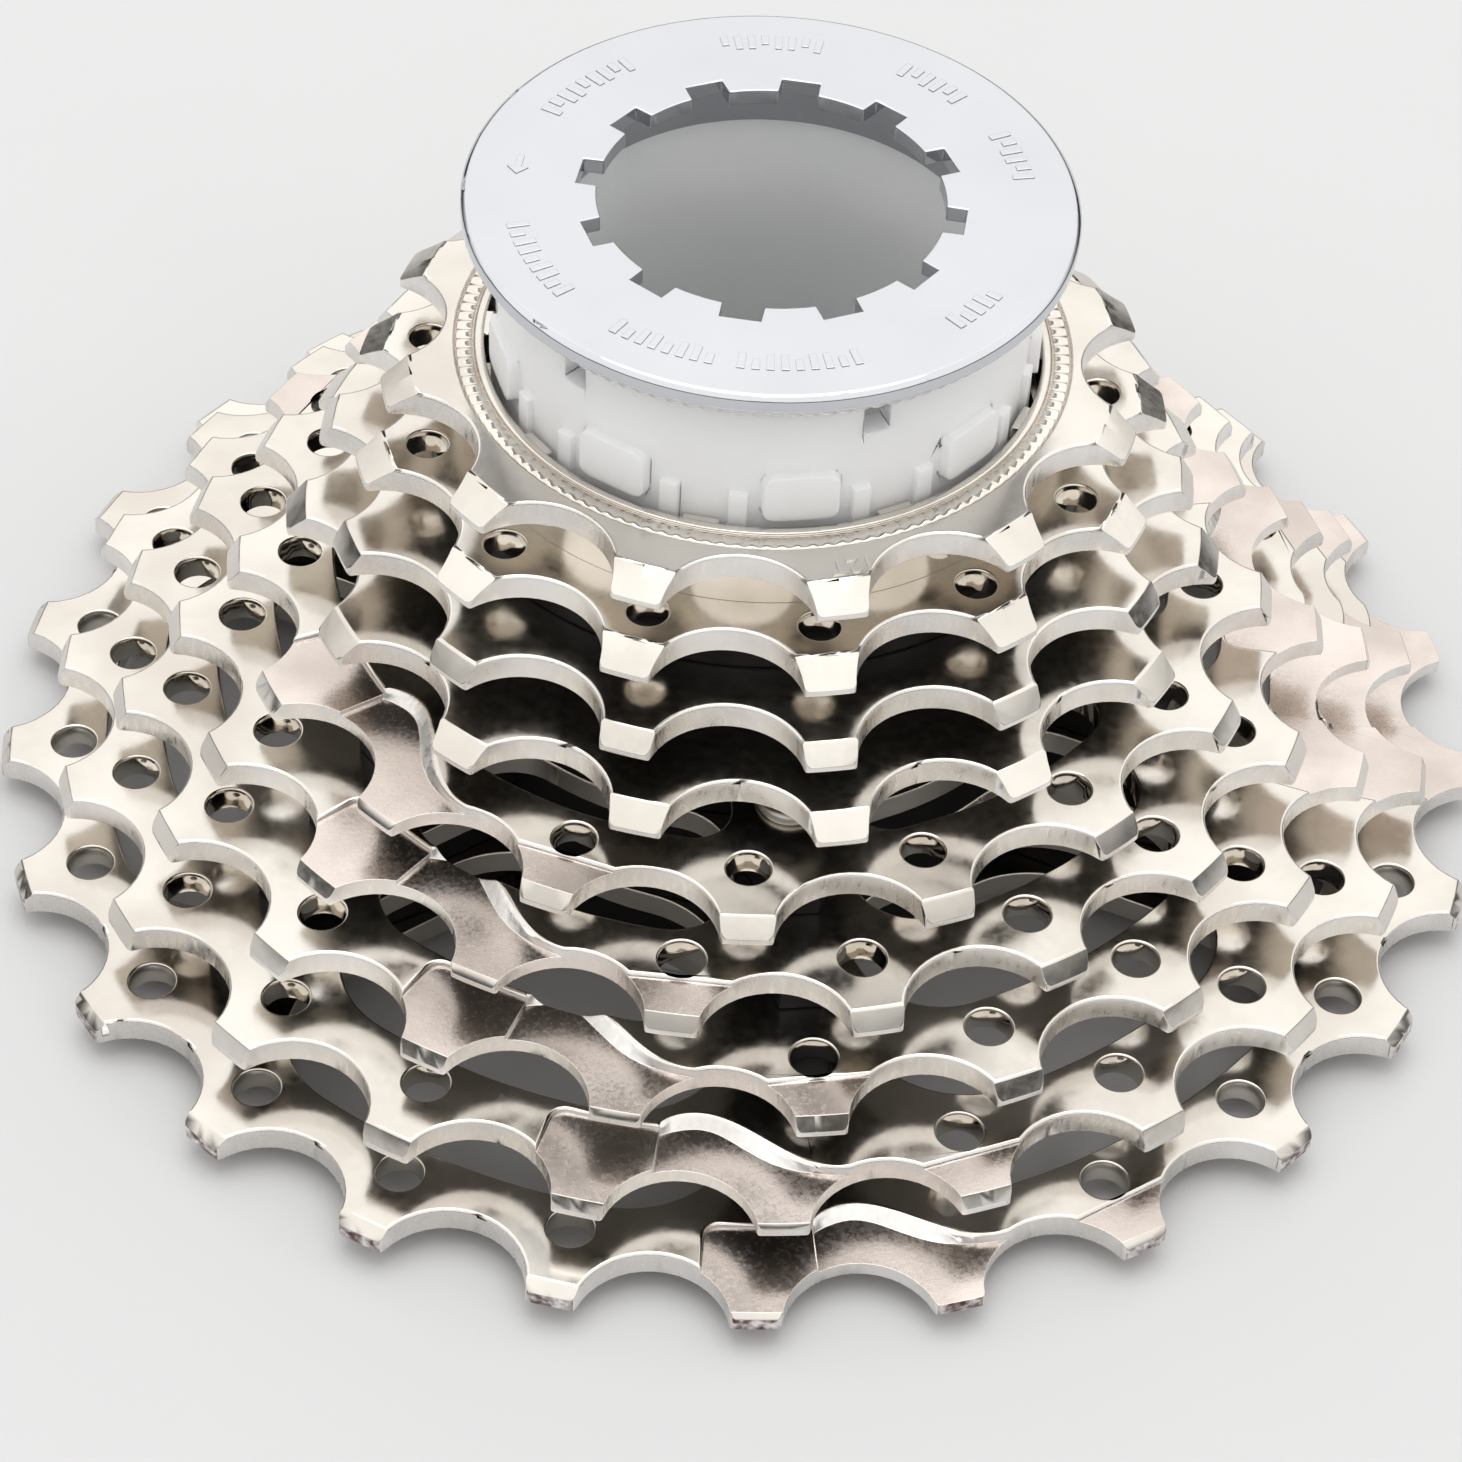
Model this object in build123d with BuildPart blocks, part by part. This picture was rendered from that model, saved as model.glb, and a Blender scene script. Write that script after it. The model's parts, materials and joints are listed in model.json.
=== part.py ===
from build123d import *
from math import cos, pi, radians, sin
import os

os.makedirs("parts", exist_ok=True)

# A nine-speed bicycle cassette, 12 to 25 teeth, held on a plastic sleeve by its lockring.
# Millimetres. +Z is the axle axis, out from the wheel. z = 0 is the plane that the sleeve stands on.

# Chain and stack
CHAIN_PITCH = 12.7          # half-inch roller chain
GAP_R = 5.0                 # every gap between two teeth is one round cut
TOOTH_HEIGHT = 4.05
TIP_CORNER_R = 0.4
SPACING = 4.34              # centre to centre of neighbouring sprockets
THICK = 1.8                 # sprocket plate
BASE_THICK = 1.6            # sleeve's foot, under the largest sprocket

CLUSTER = (25, 23, 21, 19, 17)            # riveted together, largest first
LOOSE = (15, 14, 13, 12)                  # slide on one by one
TEETH = CLUSTER + LOOSE

# Azimuth of one tooth of each sprocket, degrees from +X, counter-clockwise from above
FIRST_TOOTH = {25: -86.6, 23: -100.3, 21: -115.7, 19: -132.7, 17: -151.7,
               15: -77.6, 14: -78.6, 13: -78.4, 12: -76.3}

# How far the bottoms of the gaps lie inside the pitch circle: the small sprockets are cut deeper
ROOT_DEPTH = {25: 3.45, 23: 3.3, 21: 3.5, 19: 3.5, 17: 3.55, 15: 3.6, 14: 3.8, 13: 4.0, 12: 4.0}

# Shift ramps: how many teeth on from the first tooth each ramp starts
RAMP_STARTS = {25: (0, 6, 12), 23: (0, 6, 12), 21: (0, 6, 12), 19: (0, 7, 13), 17: (0, 8, 12)}
RAMP_DEPTH_FIRST = 0.4      # recess on the ramp's first tooth
RAMP_DEPTH_SECOND = 0.75    # recess on its second tooth
RAMP_EXIT_DEPTH = 0.3       # relieved face of the tooth after the ramp
RAMP_START_SHARE = -0.28    # the first recess's left edge, as a share of the tooth step
RAMP_MIDDLE_SHARE = 0.33    # the step between the two recesses
RAMP_REACH = 2.75           # how far the first recess reaches inside the roots
RAMP_CORNER_R = 1.0

# The deep recess's lip: share of the tooth step, then how far its upper edge and its foot
# lie inside the roots
RAMP_LIP = ((0.33, 2.9, 2.6), (0.42, 3.8, 3.1), (0.56, 4.1, 3.4), (0.80, 3.1, 2.1), (1.00, 1.4, 0.65),
            (1.20, 0.05, -0.05), (1.45, -0.15, -0.3))

# Sloped facet on the outer face of every tooth, and the chamfer on its back
FACET_LENGTH = {25: 0.7, 23: 0.6, 21: 0.7, 19: 0.8, 17: 0.9, 15: 1.4, 14: 0.95, 13: 1.9, 12: 1.9}
FACET_DROP = {25: 0.75, 23: 1.2, 21: 1.3, 19: 1.3, 17: 1.3, 15: 1.35, 14: 1.35, 13: 1.3, 12: 1.3}
BACK_CHAMFER = 0.12

# Holes under the teeth
HOLE_DEPTH_FROM_PITCH = 4.4 # hole centre inside the pitch circle
HOLE_R = {25: 1.5, 23: 1.5, 21: 1.5, 19: 1.5, 17: 1.4, 13: 1.3}

# Bore, hub ring and arms
BORE_R = 18.1
SPLINE_TIP_R = 17.35
SPLINE_COUNT = 9
SPLINE_WIDTH = 2.4
SPLINE_AZ = -100.5
HUB_R = 21.6
ARM_COUNT = 6
ARM_AZ = -82
ARM_WIDTH = 7.6
RIM_DEPTH_FROM_PITCH = 6.65 # outer edge of the windows inside the pitch circle
WINDOW_CORNER_SHARE = 0.38  # window corner radius over window height
WINDOW_CORNER_MAX = 7.0

# Rivets through every second arm
RIVET_R = 1.5
RIVET_HOLE_R = 1.55
RIVET_CIRCLE_R = 24.4
RIVET_COUNT = 3
RIVET_HEAD_R = 2.4
RIVET_HEAD_HEIGHT = 0.8

# Spacers
SPACER_BORE_R = 18.2
SPACER_R = 21.5
SPACER_SETBACK = 1.2        # least distance inside the tooth roots of the sprocket above
LUG_WIDTH_HUB = 6.4
LUG_WIDTH_END = 2.8
LUG_DEPTH_FROM_PITCH = 4.35 # lug end inside the pitch circle of the sprocket above

# Smallest sprocket: boss underneath, serrated ring seat around the bore
BOSS_R = 20.0
SEAT_INNER_R = 18.55
SEAT_OUTER_R = 19.8
SEAT_DEPTH = 0.2

# Sleeve
SLEEVE_R = 17.0
SLEEVE_BORE_R = 15.3
SLEEVE_TOP = 47.2
FOOT_R = 21.0
THREAD_POCKET_R = 15.75     # upper end of the sleeve, around the lockring's threaded skirt
THREAD_POCKET_BOTTOM = 44.8
RIB_COUNT = 9               # pairs of guide ribs
RIB_OFFSET_DEG = 7.25
RIB_WIDTH = 1.2
RIB_R = 17.6
RIB_TOP = 40.2
PAD_WIDTH = 4.8
PAD_R = 17.8
PAD_BOTTOM = 38.3
PAD_TOP = 41.8
PAD_CORNER_R = 0.8
WINDOW_AZIMUTHS = (-132, -65, 62)
SLEEVE_WINDOW_WIDTH = 1.7
SLEEVE_WINDOW_BOTTOM = 44.2
SLEEVE_WINDOW_TOP = 46.4

# Lock washer and lockring
WASHER_R = 18.4
WASHER_BORE_R = 15.6
WASHER_BOTTOM = 47.35
WASHER_THICK = 1.2
FLANGE_R = 19.35
FLANGE_THICK = 1.2
FLANGE_EDGE = 0.35
SKIRT_R = 15.3
SKIRT_BORE_R = 13.7
SKIRT_BOTTOM = 45.2
SOCKET_R = 10.9
SOCKET_DEPTH = FLANGE_THICK  # the notches are cut right through the flange
NOTCH_COUNT = 12
NOTCH_R = 12.15
NOTCH_WIDTH = 2.5
NOTCH_AZ = -97


def polar(radius, azimuth):
    return radius * cos(radians(azimuth)), radius * sin(radians(azimuth))


def pitch_radius(teeth):
    return CHAIN_PITCH / 2 / sin(pi / teeth)


def root_radius(teeth):
    return pitch_radius(teeth) - ROOT_DEPTH[teeth]


def plate_bottom(teeth):
    return BASE_THICK + SPACING * TEETH.index(teeth)


def ramp_tooth_numbers(teeth):
    starts = RAMP_STARTS.get(teeth, ())
    return [number for start in starts for number in (start, start + 1)]


def window_height(teeth):
    return pitch_radius(teeth) - RIM_DEPTH_FROM_PITCH - HUB_R


def lip_outline(root_r, tooth_az, step, depths, outer_r):
    """Draws the deep recess's outline: the lip's curve on the inside, closed beyond the tooth tips."""
    points = [polar(root_r - depth, tooth_az + share * step) for share, depth in depths]
    lip = Spline(*points)
    Polyline(lip @ 1, polar(outer_r, tooth_az + depths[-1][0] * step),
             polar(outer_r + 2, tooth_az + 0.9 * step), polar(outer_r, tooth_az + depths[0][0] * step), lip @ 0)


def make_sprocket(teeth):
    pitch_r = pitch_radius(teeth)
    root_r = root_radius(teeth)
    tip_r = root_r + TOOTH_HEIGHT
    bottom = plate_bottom(teeth)
    top = bottom + THICK
    step = 360 / teeth
    first = FIRST_TOOTH[teeth]

    with BuildPart() as sprocket:
        with BuildSketch(Plane.XY.offset(bottom)) as outline:
            Circle(tip_r)
            with PolarLocations(root_r + GAP_R, teeth, start_angle=first + step / 2):
                Circle(GAP_R, mode=Mode.SUBTRACT)
            tip_corners = outline.vertices().filter_by(lambda v: Vector(v.X, v.Y).length > tip_r - 0.01)
            fillet(tip_corners, TIP_CORNER_R)
            Circle(BORE_R, mode=Mode.SUBTRACT)
            with PolarLocations(SPLINE_TIP_R, SPLINE_COUNT, start_angle=SPLINE_AZ):
                Rectangle(BORE_R + 0.6 - SPLINE_TIP_R, SPLINE_WIDTH, align=(Align.MIN, Align.CENTER))
        extrude(amount=THICK)

        # Sloped facet on the outer side of the tooth tips, small chamfer on the back
        with BuildSketch(Plane.XZ) as facet:
            facet_bottom = top - FACET_DROP[teeth]
            Polygon((tip_r - FACET_LENGTH[teeth], top), (tip_r + 1, top), (tip_r + 1, facet_bottom),
                    (tip_r, facet_bottom), align=None)
            Polygon((tip_r - BACK_CHAMFER, bottom), (tip_r + 1, bottom),
                    (tip_r + 1, bottom + BACK_CHAMFER), (tip_r, bottom + BACK_CHAMFER), align=None)
        revolve(axis=Axis.Z, mode=Mode.SUBTRACT)

        # Round holes under the teeth that carry no ramp
        if teeth in HOLE_R:
            plain = [number for number in range(teeth) if number not in ramp_tooth_numbers(teeth)]
            with BuildSketch(Plane.XY.offset(bottom)) as holes:
                hole_circle_r = pitch_r - HOLE_DEPTH_FROM_PITCH
                with Locations(*[polar(hole_circle_r, first + step * number) for number in plain]):
                    Circle(HOLE_R[teeth])
            extrude(amount=THICK, mode=Mode.SUBTRACT)

        # Shift ramps: two stepped recesses and a relieved tooth, where the chain climbs across
        for start in RAMP_STARTS.get(teeth, ()):
            tooth_az = first + step * start
            inner_r = root_r - RAMP_REACH
            outer_r = tip_r + 1
            left_az = tooth_az + RAMP_START_SHARE * step
            middle_az = tooth_az + RAMP_MIDDLE_SHARE * step
            with BuildSketch(Plane.XY.offset(top)) as first_recess:
                with BuildLine():
                    inner_edge = ThreePointArc(polar(inner_r, left_az), polar(inner_r, tooth_az),
                                               polar(inner_r, middle_az))
                    Polyline(inner_edge @ 1, polar(outer_r, middle_az), polar(outer_r, left_az), inner_edge @ 0)
                make_face()
                left_corner = (*polar(inner_r, left_az), top)
                fillet(first_recess.vertices().sort_by_distance(left_corner)[0], RAMP_CORNER_R)
            extrude(amount=-RAMP_DEPTH_FIRST, mode=Mode.SUBTRACT)
            for height, column in ((top, 1), (top - RAMP_DEPTH_SECOND, 2)):
                depths = [(row[0], row[column]) for row in RAMP_LIP]
                with BuildSketch(Plane.XY.offset(height)):
                    with BuildLine():
                        lip_outline(root_r, tooth_az, step, depths, outer_r)
                    make_face()
            loft(mode=Mode.SUBTRACT)
            with BuildSketch(Plane.XY.offset(top)):
                Polygon(polar(root_r + 1.2, tooth_az + 1.6 * step), polar(root_r + 0.9, tooth_az + 2.4 * step),
                        polar(outer_r, tooth_az + 2.4 * step), polar(outer_r, tooth_az + 1.6 * step),
                        align=None)
            extrude(amount=-RAMP_EXIT_DEPTH, mode=Mode.SUBTRACT)

        # Windows between the arms, and rivet holes, in the sprockets of the cluster
        if teeth in CLUSTER:
            height = window_height(teeth)
            with BuildSketch(Plane.XY.offset(bottom)) as windows:
                Circle(HUB_R + height)
                Circle(HUB_R, mode=Mode.SUBTRACT)
                with PolarLocations(HUB_R + height / 2, ARM_COUNT, start_angle=ARM_AZ):
                    Rectangle(height + 3, ARM_WIDTH, mode=Mode.SUBTRACT)
                fillet(windows.vertices(), min(WINDOW_CORNER_SHARE * height, WINDOW_CORNER_MAX))
                with PolarLocations(RIVET_CIRCLE_R, RIVET_COUNT, start_angle=ARM_AZ):
                    Circle(RIVET_HOLE_R)
            extrude(amount=THICK, mode=Mode.SUBTRACT)
    sprocket.part.label = f"sprocket_{teeth}t"
    return sprocket.part


def make_spacer(lower, upper):
    """The plastic ring between two sprockets of the stack, with lugs where both have arms."""
    bottom = plate_bottom(lower) + THICK
    height = SPACING - THICK
    in_cluster = upper in CLUSTER
    lug_end = pitch_radius(upper) - LUG_DEPTH_FROM_PITCH
    outer_r = min(SPACER_R, root_radius(upper) - SPACER_SETBACK)
    with BuildPart() as spacer:
        with BuildSketch(Plane.XY.offset(bottom)):
            Circle(outer_r)
            if in_cluster:
                with PolarLocations(0, ARM_COUNT, start_angle=ARM_AZ):
                    Polygon((SPACER_BORE_R + 1, -LUG_WIDTH_HUB / 2), (RIVET_CIRCLE_R + 1.5, -LUG_WIDTH_HUB / 2),
                            (lug_end, -LUG_WIDTH_END / 2), (lug_end, LUG_WIDTH_END / 2),
                            (RIVET_CIRCLE_R + 1.5, LUG_WIDTH_HUB / 2), (SPACER_BORE_R + 1, LUG_WIDTH_HUB / 2),
                            align=None)
                with PolarLocations(RIVET_CIRCLE_R, RIVET_COUNT, start_angle=ARM_AZ):
                    Circle(RIVET_HOLE_R, mode=Mode.SUBTRACT)
            Circle(SPACER_BORE_R, mode=Mode.SUBTRACT)
        extrude(amount=height)
    spacer.part.label = f"spacer_{upper}_{lower}"
    return spacer.part


# The five largest sprockets
for teeth in CLUSTER:
    export_step(make_sprocket(teeth), f"parts/sprocket_{teeth}t.step")

# The loose sprockets that are plain plates
for teeth in LOOSE[:-1]:
    export_step(make_sprocket(teeth), f"parts/sprocket_{teeth}t.step")

# The smallest sprocket has a boss that spaces it, and a seat for the serrated ring
with BuildPart() as smallest:
    add(make_sprocket(12))
    top_face_z = plate_bottom(12) + THICK
    with BuildSketch(Plane.XY.offset(plate_bottom(13) + THICK)):
        Circle(BOSS_R)
        Circle(BORE_R, mode=Mode.SUBTRACT)
    extrude(amount=SPACING - THICK)
    with BuildSketch(Plane.XY.offset(top_face_z)):
        Circle(SEAT_OUTER_R)
        Circle(SEAT_INNER_R, mode=Mode.SUBTRACT)
    extrude(amount=-SEAT_DEPTH, mode=Mode.SUBTRACT)
smallest.part.label = "sprocket_12t"
export_step(smallest.part, "parts/sprocket_12t.step")

# Spacers between the plates; the smallest sprocket's own boss spaces the last pair
for lower, upper in zip(TEETH[:-2], TEETH[1:-1]):
    export_step(make_spacer(lower, upper), f"parts/spacer_{upper}_{lower}.step")

# Rivets that hold the cluster, with a head at each end
cluster_bottom = plate_bottom(CLUSTER[0])
cluster_top = plate_bottom(CLUSTER[-1]) + THICK
with BuildPart() as rivets:
    with BuildSketch(Plane.XY.offset(cluster_bottom)):
        with PolarLocations(RIVET_CIRCLE_R, RIVET_COUNT, start_angle=ARM_AZ):
            Circle(RIVET_R)
    extrude(amount=cluster_top - cluster_bottom)
    with BuildSketch(Plane.XY.offset(cluster_top)):
        with PolarLocations(RIVET_CIRCLE_R, RIVET_COUNT, start_angle=ARM_AZ):
            Circle(RIVET_HEAD_R)
    extrude(amount=RIVET_HEAD_HEIGHT, taper=20)
    with BuildSketch(Plane.XY.offset(cluster_bottom)):
        with PolarLocations(RIVET_CIRCLE_R, RIVET_COUNT, start_angle=ARM_AZ):
            Circle(RIVET_HEAD_R)
    extrude(amount=-RIVET_HEAD_HEIGHT, taper=20)
rivets.part.label = "cluster_rivets"
export_step(rivets.part, "parts/cluster_rivets.step")

# Sleeve: a plastic tube with a foot, guide ribs between the splines, and pads over the smallest sprocket
pad_azimuth = SPLINE_AZ + 180 / SPLINE_COUNT
with BuildPart() as sleeve:
    with BuildSketch(Plane.XY):
        Circle(FOOT_R)
    extrude(amount=BASE_THICK)
    with BuildSketch(Plane.XY.offset(BASE_THICK)):
        Circle(SLEEVE_R)
    extrude(amount=SLEEVE_TOP - BASE_THICK)
    with BuildSketch(Plane.XY.offset(BASE_THICK)):
        for side in (-RIB_OFFSET_DEG, RIB_OFFSET_DEG):
            with PolarLocations(SLEEVE_R - 0.5, RIB_COUNT, start_angle=SPLINE_AZ + side):
                Rectangle(RIB_R - SLEEVE_R + 0.5, RIB_WIDTH, align=(Align.MIN, Align.CENTER))
    extrude(amount=RIB_TOP - BASE_THICK)
    pad_planes = [Plane(origin=(*polar(SLEEVE_R - 0.6, pad_azimuth + 360 / SPLINE_COUNT * number),
                                (PAD_BOTTOM + PAD_TOP) / 2),
                        z_dir=(*polar(1, pad_azimuth + 360 / SPLINE_COUNT * number), 0))
                  for number in range(SPLINE_COUNT)]
    for plane in pad_planes:
        with BuildSketch(Plane(origin=plane.origin, x_dir=(0, 0, 1), z_dir=plane.z_dir)):
            RectangleRounded(PAD_TOP - PAD_BOTTOM, PAD_WIDTH, PAD_CORNER_R)
        extrude(amount=PAD_R - SLEEVE_R + 0.6)
    with BuildSketch(Plane.XY):
        Circle(SLEEVE_BORE_R)
    extrude(amount=SLEEVE_TOP, mode=Mode.SUBTRACT)
    with BuildSketch(Plane.XY.offset(THREAD_POCKET_BOTTOM)):
        Circle(THREAD_POCKET_R)
    extrude(amount=SLEEVE_TOP - THREAD_POCKET_BOTTOM, mode=Mode.SUBTRACT)
    with BuildSketch(Plane.XY.offset(SLEEVE_WINDOW_BOTTOM)):
        for azimuth in WINDOW_AZIMUTHS:
            with PolarLocations(SLEEVE_R, 1, start_angle=azimuth):
                Rectangle(4, SLEEVE_WINDOW_WIDTH)
    extrude(amount=SLEEVE_WINDOW_TOP - SLEEVE_WINDOW_BOTTOM, mode=Mode.SUBTRACT)
sleeve.part.label = "sleeve"
export_step(sleeve.part, "parts/sleeve.step")

# Lock washer between the lockring's flange and the stack
with BuildPart() as washer:
    with BuildSketch(Plane.XY.offset(WASHER_BOTTOM)):
        Circle(WASHER_R)
        Circle(WASHER_BORE_R, mode=Mode.SUBTRACT)
    extrude(amount=WASHER_THICK)
washer.part.label = "lock_washer"
export_step(washer.part, "parts/lock_washer.step")

# Lockring: flange, threaded skirt and a twelve-notch tool socket
flange_bottom = WASHER_BOTTOM + WASHER_THICK
flange_top = flange_bottom + FLANGE_THICK
with BuildPart() as lockring:
    with BuildSketch(Plane.XZ):
        Polygon((SOCKET_R, flange_top - SOCKET_DEPTH), (SOCKET_R, flange_top),
                (FLANGE_R - FLANGE_EDGE, flange_top), (FLANGE_R, flange_top - FLANGE_EDGE),
                (FLANGE_R, flange_bottom), (SKIRT_R, flange_bottom), (SKIRT_R, SKIRT_BOTTOM),
                (SKIRT_BORE_R, SKIRT_BOTTOM), (SKIRT_BORE_R, flange_top - SOCKET_DEPTH), align=None)
    revolve(axis=Axis.Z)
    with BuildSketch(Plane.XY.offset(flange_top - SOCKET_DEPTH)):
        with PolarLocations(0, NOTCH_COUNT, start_angle=NOTCH_AZ):
            Rectangle(NOTCH_R, NOTCH_WIDTH, align=(Align.MIN, Align.CENTER))
    extrude(amount=SOCKET_DEPTH, mode=Mode.SUBTRACT)
lockring.part.label = "lockring"
export_step(lockring.part, "parts/lockring.step")
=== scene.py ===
"""A nine-speed bicycle cassette on its plastic sleeve.

Every CAD node is replaced by a finished mesh made to its own shape: nickel-plated sprockets, black
spacers, steel rivets, a milky sleeve, a scalloped lock washer and a plated lockring.
"""
import json
from math import atan2, cos, pi, radians, sin

import bmesh
import bpy
from mathutils import Matrix, Vector


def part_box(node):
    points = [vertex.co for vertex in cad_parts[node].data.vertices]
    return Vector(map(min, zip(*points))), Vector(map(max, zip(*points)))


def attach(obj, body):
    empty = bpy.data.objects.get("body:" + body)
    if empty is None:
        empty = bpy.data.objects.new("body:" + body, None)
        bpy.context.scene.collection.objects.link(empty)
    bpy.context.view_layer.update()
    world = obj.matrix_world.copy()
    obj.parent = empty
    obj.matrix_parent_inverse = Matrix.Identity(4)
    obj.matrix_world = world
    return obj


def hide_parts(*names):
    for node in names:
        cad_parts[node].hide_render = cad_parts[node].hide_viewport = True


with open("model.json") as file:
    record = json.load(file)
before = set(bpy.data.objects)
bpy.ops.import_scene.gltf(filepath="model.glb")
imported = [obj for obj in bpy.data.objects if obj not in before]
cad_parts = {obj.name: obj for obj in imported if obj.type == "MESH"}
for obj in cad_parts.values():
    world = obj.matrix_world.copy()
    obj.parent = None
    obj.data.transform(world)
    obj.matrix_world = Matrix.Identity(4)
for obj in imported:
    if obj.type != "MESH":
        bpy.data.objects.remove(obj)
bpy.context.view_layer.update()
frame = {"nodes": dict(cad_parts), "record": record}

MM = 0.001

# Sizes and azimuths (in degrees) of the CAD part that the finish follows
TEETH = (25, 23, 21, 19, 17, 15, 14, 13, 12)
TOOTH_HEIGHT = 4.05 * MM
CLUSTER_LEAST = 17          # plates with this many teeth or more have arms and windows
ARM_AZ = -82                # azimuth of one arm
SLEEVE_R = 17.0 * MM
SPLINE_AZ = -100.5          # azimuth halfway between the two ribs of one pair on the sleeve
SPLINE_COUNT = 9

# Cuts that keep the faces small and simple enough to bevel without folds
MERGE_GAP = 0.5e-6          # corners closer than this are one corner
FLAT_ANGLE = radians(0.5)   # faces that bend less than this are one flat region
CUT_START = 0.0137          # radians; an odd azimuth, so that a round piece isn't cut along its own edges
SLEEVE_ROW = 0.97 * MM      # height of a row of the sleeve's faces
SLEEVE_ROWS = 11            # rows in the top of the sleeve, down past the pads

# Edge rounding, as bevel widths: punched edges roll over on the outer side and stay crisp at the back
ROLLED_EDGE = 0.26 * MM
RIM_SHARE = 0.6             # share of that along holes, windows and recesses
CRISP_SHARE = 0.16          # and at the back
SHARP_ANGLE = radians(25)   # edges that bend less than this stay as they are
SPACER_EDGE = 0.2 * MM
SLEEVE_EDGE = 0.22 * MM
RELIEF_SHARE = 0.75         # height kept by the sleeve's moulded pads and ribs
RELIEF_EDGE_SHARE = 0.5
RIVET_EDGE = 0.3 * MM

# How a plate's faces are told apart, by their direction and by where they lie
LEVEL_SLOPE = 0.9           # a level face's normal rises more than this
WALL_SLOPE = 0.35           # and an upright face's rises less than this
RECESS_DEPTHS = (0.15 * MM, 1.2 * MM)   # recess floors lie between these depths under the face
FACET_REACH = 2.0 * MM      # how far in from the tips the sloped facets reach
TIP_BAND = 0.08 * MM        # depth of the band that holds the flat tips
TOP_BAND = 0.02 * MM        # edges less than this under the face lie in it

# Lockring: its face is lowered by the height of the marks, so that they end at the CAD face's height
LOCKRING_EDGE = 0.12 * MM
LOCKRING_FACE_BAND = 0.1 * MM
LOCKRING_FLAT_SLOPE = 0.95
MARK_HEIGHT = 0.07 * MM
MARK_INNER_R = 15.35 * MM
MARK_OUTER_R = 16.75 * MM
MARK_SHORT = 0.45 * MM      # how much shorter the short bars are
MARK_STEP = 3.1             # degrees from one bar to the next
MARK_WIDTH = 1.7            # degrees
MARK_EDGE = 0.03 * MM
MARK_GROUPS = ((-152, 9), (-112, 8), (-82, 9), (-38, 5), (20, 6), (52, 6), (92, 8), (140, 9))  # azimuth, bars
ARROW_R = 16.0 * MM
ARROW_AZ = 176
ARROW_OUTLINE = ((-5.5, -0.22), (-1.2, -0.22), (-1.2, -0.7), (1.4, 0.0), (-1.2, 0.7), (-1.2, 0.22),
                 (-5.5, 0.22))          # degrees along the circle, millimetres across it

# Lock washer: thin, with a stepped and scalloped edge
WASHER_BORE_R = 15.6 * MM
WASHER_CHAMFER = 0.12 * MM
WASHER_STEP = 0.3 * MM      # width and height of the step round its top
WASHER_SLOPE = 0.45 * MM    # depth under the top where the edge starts to slope in to the step
WASHER_SCALLOPS = 110
SCALLOP_DEPTH = 0.16 * MM
SCALLOP_STEPS = 6

# Serrated seat and bore bead on the smallest sprocket
SERRATIONS = 132
SERRATION_STEPS = 8
SERRATION_DEPTH = 0.09 * MM
SEAT_INNER_R, SEAT_OUTER_R = 18.6 * MM, 19.75 * MM
SEAT_DEPTH = 0.2 * MM
SEAT_CREST = 0.02 * MM      # depth of the ridges' crests under the face
SEAT_BASE = 0.02 * MM       # height of the upright band at the foot of the ridges
SEAT_SLOPE = 0.15 * MM      # width of the slope at each end of the ridges
BEAD_R = 18.2 * MM
BEAD_HALF_WIDTH = 0.32 * MM
BEAD_HEIGHT = 0.12 * MM
BEAD_SINK = 0.03 * MM
BEAD_STEPS = 6              # around the bead's section
BEAD_TURN_STEPS = 180

# Tooth count on the smallest sprocket
COUNT_SIZE = 1.75 * MM
COUNT_HEIGHT = 0.04 * MM
COUNT_R = 21.7 * MM
COUNT_AZ = -73.5
COUNT_MERGE_GAP = 1e-7

# Camera, in millimetres and degrees, looking at the axle from the front
CAMERA_DISTANCE = 292.4
CAMERA_ELEVATION = 45.13
CAMERA_ROLL = 3.30
CAMERA_TARGET_Z = 2.45
CAMERA_FOCAL = 102.6
CAMERA_SENSOR = 36
CAMERA_SHIFT_X = -0.0068

# Floor and light, in metres and watts: a dome that is dark along the horizon, and one softbox overhead
FLOOR_HALF = 1.5
FLOOR_CELLS = 8
DOME_COLOR = (1.0, 0.99, 0.975, 1)
DOME_RISE = (0.05, 0.45, 0.05, 1.0)     # direction's height from and to, strength from and to
DOME_BACK = (-0.5, 0.6, 1.30, 1.32)     # the same from front to back
SOFTBOX_PLACE = (0.0, 0.05, 0.75)
SOFTBOX_AIM = (0, 0, 0.02)
SOFTBOX_SIZE = 0.6
SOFTBOX_WATTS = 1.4
VIEW_GAMMA = 0.9


def top_of(node):
    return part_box(node)[1][2]


def bottom_of(node):
    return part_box(node)[0][2]


# ---------------------------------------------------------------- materials

MOST_NOISE = (0.3, 0.7)     # where most of a noise's values lie
MOST_MIXED = (0.35, 0.65)   # and of two noises mixed
WAVE_SCALE = 230            # noise scale of a plate's slight unevenness


def ramp_node(nodes, limits):
    """A smooth ramp between limits: the value from and to, and the result from and to."""
    node = nodes.new("ShaderNodeMapRange")
    node.interpolation_type = "SMOOTHSTEP"
    for key, number in zip(("From Min", "From Max", "To Min", "To Max"), limits):
        node.inputs[key].default_value = number
    return node


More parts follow.
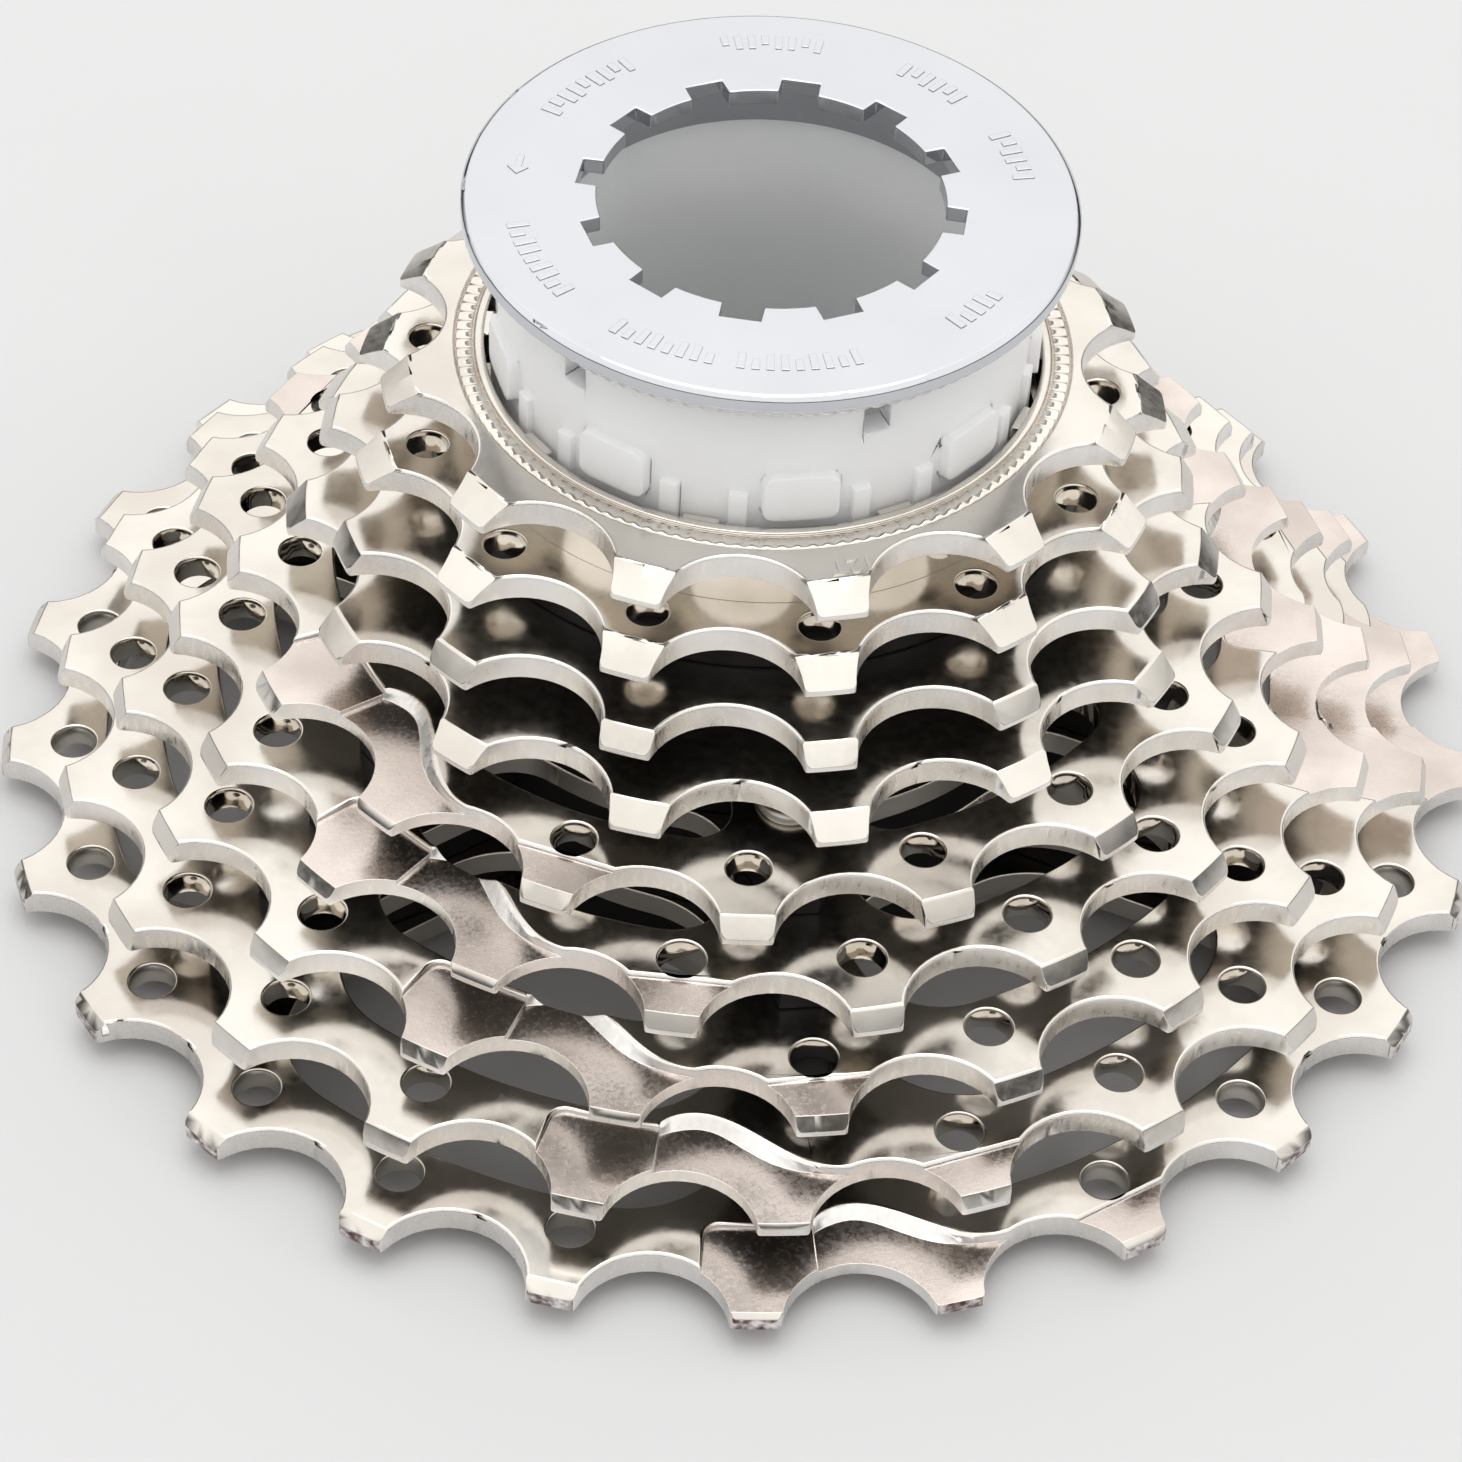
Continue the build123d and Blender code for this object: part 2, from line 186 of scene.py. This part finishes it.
class Tree:
    """A material's node tree, with short calls to add and join nodes."""

    def __init__(self, name):
        self.material = bpy.data.materials.new(name)
        self.material.use_nodes = True
        self.nodes = self.material.node_tree.nodes
        self.links = self.material.node_tree.links
        self.shader = self.nodes["Principled BSDF"]

    def put(self, socket, value):
        """Joins an output to the socket, or sets the socket to a plain value."""
        if isinstance(value, bpy.types.NodeSocket):
            self.links.new(value, socket)
        else:
            socket.default_value = value

    def put_all(self, node, inputs):
        for key, value in inputs.items():
            self.put(node.inputs[key.replace("_", " ")], value)

    def set(self, **inputs):
        """Sets or joins the shader's inputs, named with underscores for their spaces."""
        self.put_all(self.shader, inputs)

    def add(self, kind, **inputs):
        node = self.nodes.new(kind)
        self.put_all(node, inputs)
        return node

    def math(self, operation, first, second):
        node = self.nodes.new("ShaderNodeMath")
        node.operation = operation
        self.put(node.inputs[0], first)
        self.put(node.inputs[1], second)
        return node.outputs[0]

    def ramp(self, value, low, high, out_low=0.0, out_high=1.0):
        node = ramp_node(self.nodes, (low, high, out_low, out_high))
        self.put(node.inputs["Value"], value)
        return node.outputs[0]

    def blend(self, share, first, second):
        """A colour that goes from the first to the second as the share goes from 0 to 1."""
        node = self.nodes.new("ShaderNodeMix")
        node.data_type = "RGBA"
        self.put(node.inputs[0], share)
        self.put(node.inputs[6], first)
        self.put(node.inputs[7], second)
        return node.outputs[2]

    def noise(self, scale, detail, stretch=(1, 1, 1), rough=0.5):
        place = self.add("ShaderNodeTexCoord").outputs["Object"]
        stretched = self.add("ShaderNodeMapping", Vector=place, Scale=stretch).outputs[0]
        return self.add("ShaderNodeTexNoise", Vector=stretched, Scale=scale, Detail=detail,
                        Roughness=rough).outputs[0]

    def bump(self, height, distance):
        node = self.add("ShaderNodeBump", Strength=1.0, Distance=distance, Height=height)
        self.links.new(node.outputs[0], self.shader.inputs["Normal"])


def nickel(name, dark, light, rough, grain_scale, grain_depth, stretch=(1, 1, 1), wave_depth=0.0,
           cloud_scale=110):
    """Nickel plate: a cloudy tint, grain in the roughness, and the grain and a long wave as bump."""
    tree = Tree(name)
    cloud = tree.noise(cloud_scale, 4)
    grain = tree.noise(grain_scale, 4, stretch, 0.6)
    tree.set(Metallic=1.0, Base_Color=tree.blend(tree.ramp(cloud, *MOST_NOISE), (*dark, 1), (*light, 1)))
    mixed = tree.math("ADD", tree.math("MULTIPLY", grain, 0.6), tree.math("MULTIPLY", cloud, 0.4))
    tree.set(Roughness=tree.ramp(mixed, *MOST_MIXED, *rough))
    height = tree.math("MULTIPLY", grain, grain_depth / MM)
    if wave_depth:
        wave = tree.math("MULTIPLY", tree.noise(WAVE_SCALE, 1), wave_depth / MM)
        height = tree.math("ADD", height, wave)
    tree.bump(height, MM)
    return tree.material


def chrome(name, rough):
    """Bright plate, faintly blue, with a fine satin grain."""
    tree = Tree(name)
    cloud = tree.noise(120, 4)
    tree.set(Metallic=1.0, Base_Color=tree.blend(cloud, (0.60, 0.615, 0.645, 1), (0.67, 0.68, 0.705, 1)))
    tree.set(Roughness=tree.ramp(cloud, *MOST_NOISE, *rough))
    tree.bump(tree.noise(4200, 2), 0.4e-6)
    return tree.material


def milky_plastic():
    """White plastic that light goes a little way into."""
    tree = Tree("milky_plastic")
    cloud = tree.noise(160, 4)
    tree.set(Base_Color=tree.blend(cloud, (0.87, 0.88, 0.885, 1), (0.92, 0.925, 0.93, 1)))
    tree.set(Roughness=tree.ramp(cloud, *MOST_NOISE, 0.34, 0.46))
    tree.set(Subsurface_Weight=0.6, Subsurface_Radius=(1.0, 1.0, 1.0), Subsurface_Scale=0.0025)
    tree.bump(tree.noise(1800, 3), 1.5e-6)
    return tree.material


def black_plastic():
    tree = Tree("black_plastic")
    cloud = tree.noise(300, 4)
    tree.set(Base_Color=tree.blend(cloud, (0.004, 0.004, 0.004, 1), (0.010, 0.009, 0.009, 1)))
    tree.set(Specular_IOR_Level=0.25)
    tree.set(Roughness=tree.ramp(cloud, *MOST_NOISE, 0.45, 0.65))
    tree.bump(tree.noise(2500, 3), 6e-6)
    return tree.material


def floor_paper():
    tree = Tree("pale_floor")
    cloud = tree.noise(40, 3)
    tree.set(Base_Color=tree.blend(cloud, (0.585, 0.588, 0.595, 1), (0.60, 0.603, 0.61, 1)), Roughness=0.7)
    tree.bump(tree.noise(900, 3), 3e-6)
    return tree.material


PLATE = nickel("nickel_face", dark=(0.66, 0.62, 0.57), light=(0.78, 0.75, 0.70), rough=(0.13, 0.22),
               grain_scale=1400, grain_depth=1.2e-6, wave_depth=26e-6)
STAMPED = nickel("nickel_stamped_wall", dark=(0.70, 0.675, 0.645), light=(0.90, 0.885, 0.865),
                 rough=(0.22, 0.46), grain_scale=2300, grain_depth=26e-6, stretch=(1, 1, 0.4))
# Recess floors: the grain and roughness are the coined finish; the darker, browner colour is painted shade
# from lying under the next sprocket
COINED_WITH_PAINTED_SHADE = nickel("nickel_coined_painted_shade", dark=(0.58, 0.52, 0.48), light=(0.78, 0.71, 0.67), rough=(0.20, 0.32),
                grain_scale=3200, grain_depth=8e-6, wave_depth=20e-6)
BORED = nickel("nickel_bored", dark=(0.68, 0.64, 0.58), light=(0.84, 0.80, 0.74), rough=(0.06, 0.14),
               grain_scale=1600, grain_depth=2e-6, stretch=(1, 1, 0.3))
RAW = nickel("nickel_sheared_tip", dark=(0.13, 0.06, 0.06), light=(0.90, 0.87, 0.85), rough=(0.15, 0.4),
             grain_scale=2600, grain_depth=60e-6, cloud_scale=1500)
SATIN = chrome("satin_chrome", (0.26, 0.34))
MIRROR = chrome("mirror_chrome", (0.04, 0.08))
MILKY = milky_plastic()
BLACK = black_plastic()
RIVET = nickel("rivet_steel", dark=(0.42, 0.40, 0.38), light=(0.55, 0.53, 0.50), rough=(0.28, 0.42),
               grain_scale=1300, grain_depth=4e-6)
PLATE_FINISHES = (PLATE, STAMPED, COINED_WITH_PAINTED_SHADE, BORED, RAW)


# ---------------------------------------------------------------- making and finishing a piece

body_of = {node: body for body, nodes in frame["record"]["behaviour"]["bodies"].items() for node in nodes}


def add_piece(name, form, body, materials, replaced=None):
    """Turns the form into an object that rides on a body and, if one is named, replaces a CAD node."""
    mesh = bpy.data.meshes.new(name)
    form.to_mesh(mesh)
    form.free()
    for material in materials:
        mesh.materials.append(material)
    piece = bpy.data.objects.new(name, mesh)
    bpy.context.scene.collection.objects.link(piece)
    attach(piece, body)
    if replaced:
        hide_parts(replaced)
    return piece


def cleaned_copy(node, cuts, levels=()):
    """The CAD node's shape as a mesh with its flat regions joined, apart from cuts at azimuths and levels."""
    form = bmesh.new()
    form.from_mesh(frame["nodes"][node].data)
    bmesh.ops.remove_doubles(form, verts=form.verts, dist=MERGE_GAP)
    planes = [((0, 0, 0), (-sin(angle), cos(angle), 0)) for angle in cuts]
    planes += [((0, 0, level), (0, 0, 1)) for level in levels]
    for origin, normal in planes:
        everything = form.verts[:] + form.edges[:] + form.faces[:]
        cut = bmesh.ops.bisect_plane(form, geom=everything, dist=MERGE_GAP, plane_co=origin,
                                     plane_no=normal)["geom_cut"]
        for edge in cut:
            if isinstance(edge, bmesh.types.BMEdge):
                edge.seam = True
    bmesh.ops.dissolve_limit(form, angle_limit=FLAT_ANGLE, verts=form.verts, edges=form.edges,
                             delimit={"SEAM"})
    for face in form.faces:
        face.smooth = True
        face.material_index = 0
    return form


def even_cuts(count, start=CUT_START):
    """Azimuths, in radians, of planes through the axle that are evenly spaced."""
    return [start + pi * number / count for number in range(count)]


def weigh_edges(form, share=lambda edge: 1.0):
    """Marks every sharp edge with the share of the rounding that it gets."""
    layer = form.edges.layers.float.new("bevel_weight_edge")
    for edge in form.edges:
        if len(edge.link_faces) == 2 and edge.calc_face_angle(0.0) > SHARP_ANGLE:
            edge[layer] = share(edge)


def round_edges(piece, radius, segments=2):
    bevel = piece.modifiers.new("edges", "BEVEL")
    bevel.limit_method = "WEIGHT"
    bevel.width = radius
    bevel.segments = segments
    bevel.use_clamp_overlap = False
    bevel.miter_outer = "MITER_SHARP"
    normals = piece.modifiers.new("normals", "WEIGHTED_NORMAL")
    normals.mode = "FACE_AREA"
    normals.weight = 60


# ---------------------------------------------------------------- sprockets

def tooth_azimuth(node, teeth):
    """The azimuth of one tooth: halfway between the corners of a whole tip."""
    points = [vertex.co for vertex in frame["nodes"][node].data.vertices]
    tip = max(point.xy.length for point in points)
    turns = [teeth * atan2(point.y, point.x) for point in points if point.xy.length > tip - 0.01 * MM]
    rough = atan2(sum(sin(turn) for turn in turns), sum(cos(turn) for turn in turns))
    offsets = [(turn - rough + pi) % (2 * pi) - pi for turn in turns]
    return (rough + (min(offsets) + max(offsets)) / 2) / teeth


def walls_of(form):
    """The upright faces, in groups that join: one for each hole and window, one for the teeth."""
    waiting = {face for face in form.faces if abs(face.normal.z) < WALL_SLOPE}
    while waiting:
        group, front = [], [waiting.pop()]
        while front:
            face = front.pop()
            group.append(face)
            for edge in face.edges:
                for other in edge.link_faces:
                    if other in waiting:
                        waiting.remove(other)
                        front.append(other)
        yield group


def set_finish(face, material):
    face.material_index = PLATE_FINISHES.index(material)


def finish_faces(form, teeth, top, tip):
    """Coined recess floors (their darker, browner colour is painted shade), stamped lips and tooth walls,
    bored holes and, on the largest, sheared tips.
    """
    for face in form.faces:
        centre = face.calc_center_median()
        # recess floors get the coined finish, whose darker colour is painted shade
        if face.normal.z > LEVEL_SLOPE and RECESS_DEPTHS[0] < top - centre.z < RECESS_DEPTHS[1]:
            set_finish(face, COINED_WITH_PAINTED_SHADE)
        elif WALL_SLOPE < face.normal.z < LEVEL_SLOPE and centre.xy.length < tip - FACET_REACH:
            set_finish(face, STAMPED)
    for wall in walls_of(form):
        reach = max(vertex.co.xy.length for face in wall for vertex in face.verts)
        for face in wall:
            if reach < tip - 0.5 * TOOTH_HEIGHT:
                set_finish(face, BORED)
            elif teeth == TEETH[0] and face.calc_center_median().xy.length > tip - TIP_BAND:
                set_finish(face, RAW)
            else:
                set_finish(face, STAMPED)


def make_plate(teeth):
    """One sprocket: rolled edges round the gaps, and a finish for each kind of surface."""
    node = f"sprocket_{teeth}t"
    cuts = [tooth_azimuth(node, teeth) + angle for angle in even_cuts(teeth, 0.0)]
    if teeth >= CLUSTER_LEAST:
        cuts += [radians(ARM_AZ) + angle for angle in even_cuts(3, 0.0)]
    form = cleaned_copy(node, cuts)
    top = top_of(node)
    tip = max(vertex.co.xy.length for vertex in form.verts)
    finish_faces(form, teeth, top, tip)

    def share(edge):
        on_top = all(vertex.co.z > top - TOP_BAND for vertex in edge.verts)
        finishes = [PLATE_FINISHES[face.material_index] for face in edge.link_faces]
        if on_top and (STAMPED in finishes or RAW in finishes):
            return 1.0
        return RIM_SHARE if on_top else CRISP_SHARE

    weigh_edges(form, share)
    piece = add_piece(f"plate_{teeth}t", form, body_of[node], PLATE_FINISHES, node)
    round_edges(piece, ROLLED_EDGE)


# ---------------------------------------------------------------- spacers, sleeve and rivets

def make_spacer(node):
    form = cleaned_copy(node, even_cuts(12))
    weigh_edges(form)
    piece = add_piece(f"moulded_{node}", form, body_of[node], (BLACK,), node)
    round_edges(piece, SPACER_EDGE)


def make_sleeve():
    """The sleeve, with its pads and ribs standing only a little proud of the tube."""
    top = top_of("sleeve")
    foot_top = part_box("sprocket_25t")[0][2]
    relief_top = top - 0.1 * MM
    rows = [top - row * SLEEVE_ROW for row in range(1, SLEEVE_ROWS + 1)]
    form = cleaned_copy("sleeve", even_cuts(SPLINE_COUNT, radians(SPLINE_AZ)), rows)
    for vertex in form.verts:
        radius = vertex.co.xy.length
        if radius > SLEEVE_R + 0.05 * MM and vertex.co.z > foot_top + 0.1 * MM:
            vertex.co.xy *= (SLEEVE_R + RELIEF_SHARE * (radius - SLEEVE_R)) / radius

    def share(edge):
        middle = (edge.verts[0].co + edge.verts[1].co) / 2
        on_relief = middle.xy.length > SLEEVE_R - 0.1 * MM and foot_top < middle.z < relief_top
        return RELIEF_EDGE_SHARE if on_relief else 1.0

    weigh_edges(form, share)
    piece = add_piece("moulded_sleeve", form, "sleeve", (MILKY,), "sleeve")
    round_edges(piece, SLEEVE_EDGE, 3)


def make_rivets():
    form = cleaned_copy("cluster_rivets", even_cuts(3))
    weigh_edges(form)
    piece = add_piece("domed_rivets", form, "cluster", (RIVET,), "cluster_rivets")
    round_edges(piece, RIVET_EDGE, 3)


# ---------------------------------------------------------------- lockring

def make_lockring():
    """Satin flat face, and a polished rim and socket."""
    form = cleaned_copy("lockring", even_cuts(12))
    top = top_of("lockring")
    flat, polished = 0, 1
    for face in form.faces:
        in_face = face.calc_center_median().z >= top - LOCKRING_FACE_BAND
        face.material_index = flat if in_face and face.normal.z >= LOCKRING_FLAT_SLOPE else polished
    for vertex in form.verts:
        if vertex.co.z > top - LOCKRING_FACE_BAND:
            vertex.co.z -= MARK_HEIGHT
    weigh_edges(form)
    piece = add_piece("lockring_turned", form, "lockring", (SATIN, MIRROR), "lockring")
    round_edges(piece, LOCKRING_EDGE, 3)


def polar(radius, azimuth):
    return radius * cos(radians(azimuth)), radius * sin(radians(azimuth))


def prism(form, outline, low, high):
    """An upright prism over a closed outline given counter-clockwise."""
    lower = [form.verts.new((x, y, low)) for x, y in outline]
    upper = [form.verts.new((x, y, high)) for x, y in outline]
    form.faces.new(list(reversed(lower)))
    form.faces.new(upper)
    for index in range(len(outline)):
        after = (index + 1) % len(outline)
        form.faces.new((lower[index], lower[after], upper[after], upper[index]))


def bar_outline(inner, outer, azimuth):
    before, after = azimuth - MARK_WIDTH / 2, azimuth + MARK_WIDTH / 2
    return [polar(inner, before), polar(outer, before), polar(outer, after), polar(inner, after)]


def make_marks():
    """Blank bars and an arrow where a real lockring has lettering."""
    marks = bmesh.new()
    top = top_of("lockring")
    base = top - MARK_HEIGHT
    for middle, count in MARK_GROUPS:
        for number in range(count):
            azimuth = middle + MARK_STEP * (number - (count - 1) / 2)
            inner = MARK_INNER_R + MARK_SHORT if number % 3 == 1 else MARK_INNER_R
            prism(marks, bar_outline(inner, MARK_OUTER_R, azimuth), base, top)
    arrow = [polar(ARROW_R - across * MM, ARROW_AZ + along) for along, across in ARROW_OUTLINE]
    prism(marks, arrow, base, top)
    piece = add_piece("lockring_marks", marks, "lockring", (SATIN,))
    bevel = piece.modifiers.new("edges", "BEVEL")
    bevel.width = MARK_EDGE
    bevel.segments = 2


# ---------------------------------------------------------------- turned rings and the tooth count

def turned_ring(profile, steps, shift=None):
    """A closed ring turned from (radius, height) points; shift says how far each moves at each angle."""
    form = bmesh.new()
    rows = []
    for step in range(steps):
        angle = 2 * pi * step / steps
        row = []
        for index, (radius, height) in enumerate(profile):
            outward, upward = shift(index, angle) if shift else (0.0, 0.0)
            wide = radius + outward
            row.append(form.verts.new((wide * cos(angle), wide * sin(angle), height + upward)))
        rows.append(row)
    for step in range(steps):
        here, there = rows[step], rows[(step + 1) % steps]
        for index in range(len(profile)):
            after = (index + 1) % len(profile)
            face = form.faces.new((here[index], there[index], there[after], here[after]))
            face.smooth = True
    bmesh.ops.recalc_face_normals(form, faces=form.faces)
    return form


def make_washer():
    """The lock washer: thin, with a scalloped edge that the lockring's serrations bite into."""
    low, high = bottom_of("lock_washer"), top_of("lock_washer")
    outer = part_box("lock_washer")[1][0]
    step = outer - WASHER_STEP
    profile = ((WASHER_BORE_R, low), (outer - WASHER_CHAMFER, low), (outer, low + WASHER_CHAMFER),
               (outer, high - WASHER_SLOPE), (step, high - WASHER_STEP), (step, high), (WASHER_BORE_R, high))
    rim_points = (1, 2, 3)

    def scallop(index, angle):
        if index not in rim_points:
            return 0.0, 0.0
        return -SCALLOP_DEPTH * (1 - abs(sin(WASHER_SCALLOPS * angle / 2))), 0.0

    form = turned_ring(profile, WASHER_SCALLOPS * SCALLOP_STEPS, scallop)
    add_piece("lock_washer_scalloped", form, "lock_washer", (SATIN,), "lock_washer")


def make_serrated_seat():
    """Radial serrations in the smallest sprocket's seat."""
    top = top_of("sprocket_12t")
    seat, crest = top - SEAT_DEPTH, top - SEAT_CREST
    profile = ((SEAT_INNER_R, seat), (SEAT_OUTER_R, seat), (SEAT_OUTER_R, seat + SEAT_BASE),
               (SEAT_OUTER_R - SEAT_SLOPE, crest), (SEAT_INNER_R + SEAT_SLOPE, crest),
               (SEAT_INNER_R, seat + SEAT_BASE))
    crest_points = (3, 4)

    def ridge(index, angle):
        if index not in crest_points:
            return 0.0, 0.0
        return 0.0, -SERRATION_DEPTH * (0.5 - 0.5 * cos(SERRATIONS * angle))

    form = turned_ring(profile, SERRATIONS * SERRATION_STEPS, ridge)
    add_piece("seat_serrations", form, "sprocket_12t", (BORED,))


def make_bore_bead():
    """The rounded bead between the serrations and the bore."""
    base = top_of("sprocket_12t") - BEAD_SINK
    turns = [pi * step / BEAD_STEPS for step in range(BEAD_STEPS + 1)]
    profile = [(BEAD_R + BEAD_HALF_WIDTH * cos(turn), base + BEAD_HEIGHT * sin(turn)) for turn in turns]
    add_piece("bore_bead", turned_ring(profile, BEAD_TURN_STEPS), "sprocket_12t", (PLATE,))


def make_tooth_count():
    """The tooth count, raised a little on the smallest sprocket's face."""
    curve = bpy.data.curves.new("tooth_count_text", "FONT")
    curve.body = "12T"
    curve.size = COUNT_SIZE
    curve.extrude = COUNT_HEIGHT
    curve.align_x = "CENTER"
    curve.align_y = "CENTER"
    source = bpy.data.objects.new("tooth_count_source", curve)
    mesh = bpy.data.meshes.new_from_object(source)
    bpy.data.objects.remove(source)
    form = bmesh.new()
    form.from_mesh(mesh)
    turn = Matrix.Rotation(radians(COUNT_AZ - 90), 4, "Z")
    x, y = polar(COUNT_R, COUNT_AZ)
    form.transform(Matrix.Translation((x, y, top_of("sprocket_12t") + COUNT_HEIGHT)) @ turn)
    bmesh.ops.remove_doubles(form, verts=form.verts, dist=COUNT_MERGE_GAP)
    add_piece("tooth_count_mark", form, "sprocket_12t", (BORED,))


for teeth in TEETH:
    make_plate(teeth)
for node in frame["nodes"]:
    if node.startswith("spacer"):
        make_spacer(node)
make_sleeve()
make_rivets()
make_lockring()
make_marks()
make_washer()
make_serrated_seat()
make_bore_bead()
make_tooth_count()


# ---------------------------------------------------------------- stage, light and camera

def make_floor():
    form = bmesh.new()
    bmesh.ops.create_grid(form, x_segments=FLOOR_CELLS, y_segments=FLOOR_CELLS, size=FLOOR_HALF)
    mesh = bpy.data.meshes.new("floor")
    form.to_mesh(mesh)
    form.free()
    mesh.materials.append(floor_paper())
    floor = bpy.data.objects.new("floor", mesh)
    bpy.context.scene.collection.objects.link(floor)


def make_world():
    """A white studio: nearly even all round, and dark along the horizon."""
    world = bpy.data.worlds.new("studio")
    world.use_nodes = True
    nodes, links = world.node_tree.nodes, world.node_tree.links
    background = nodes["Background"]
    direction = nodes.new("ShaderNodeSeparateXYZ")
    links.new(nodes.new("ShaderNodeTexCoord").outputs["Generated"], direction.inputs[0])
    product = nodes.new("ShaderNodeMath")
    product.operation = "MULTIPLY"
    for factor, axis, limits in zip(product.inputs, (2, 1), (DOME_RISE, DOME_BACK)):
        ramp = ramp_node(nodes, limits)
        links.new(direction.outputs[axis], ramp.inputs["Value"])
        links.new(ramp.outputs[0], factor)
    links.new(product.outputs[0], background.inputs["Strength"])
    background.inputs["Color"].default_value = DOME_COLOR
    bpy.context.scene.world = world


def make_softbox():
    data = bpy.data.lights.new("softbox", "AREA")
    data.shape = "DISK"
    data.size = SOFTBOX_SIZE
    data.energy = SOFTBOX_WATTS
    light = bpy.data.objects.new("softbox", data)
    light.location = SOFTBOX_PLACE
    towards = Vector(SOFTBOX_AIM) - Vector(SOFTBOX_PLACE)
    light.rotation_euler = towards.to_track_quat("-Z", "Y").to_euler()
    bpy.context.scene.collection.objects.link(light)


def make_camera():
    elevation, roll = radians(CAMERA_ELEVATION), radians(CAMERA_ROLL)
    back = Vector((0, -cos(elevation), sin(elevation)))
    right = Vector((1, 0, 0))
    up = Vector((0, sin(elevation), cos(elevation)))
    side = right * cos(roll) + up * sin(roll)
    top = up * cos(roll) - right * sin(roll)
    data = bpy.data.cameras.new("camera")
    data.lens = CAMERA_FOCAL
    data.sensor_width = CAMERA_SENSOR
    data.sensor_fit = "HORIZONTAL"
    data.shift_x = CAMERA_SHIFT_X
    data.clip_start = 0.01
    camera = bpy.data.objects.new("camera", data)
    turn = Matrix((side, top, back)).transposed().to_4x4()
    place = Vector((0, 0, CAMERA_TARGET_Z * MM)) + back * CAMERA_DISTANCE * MM
    camera.matrix_world = Matrix.Translation(place) @ turn
    bpy.context.scene.collection.objects.link(camera)
    bpy.context.scene.camera = camera


make_floor()
make_world()
make_softbox()
make_camera()
bpy.context.scene.view_settings.view_transform = "Standard"
bpy.context.scene.view_settings.gamma = VIEW_GAMMA
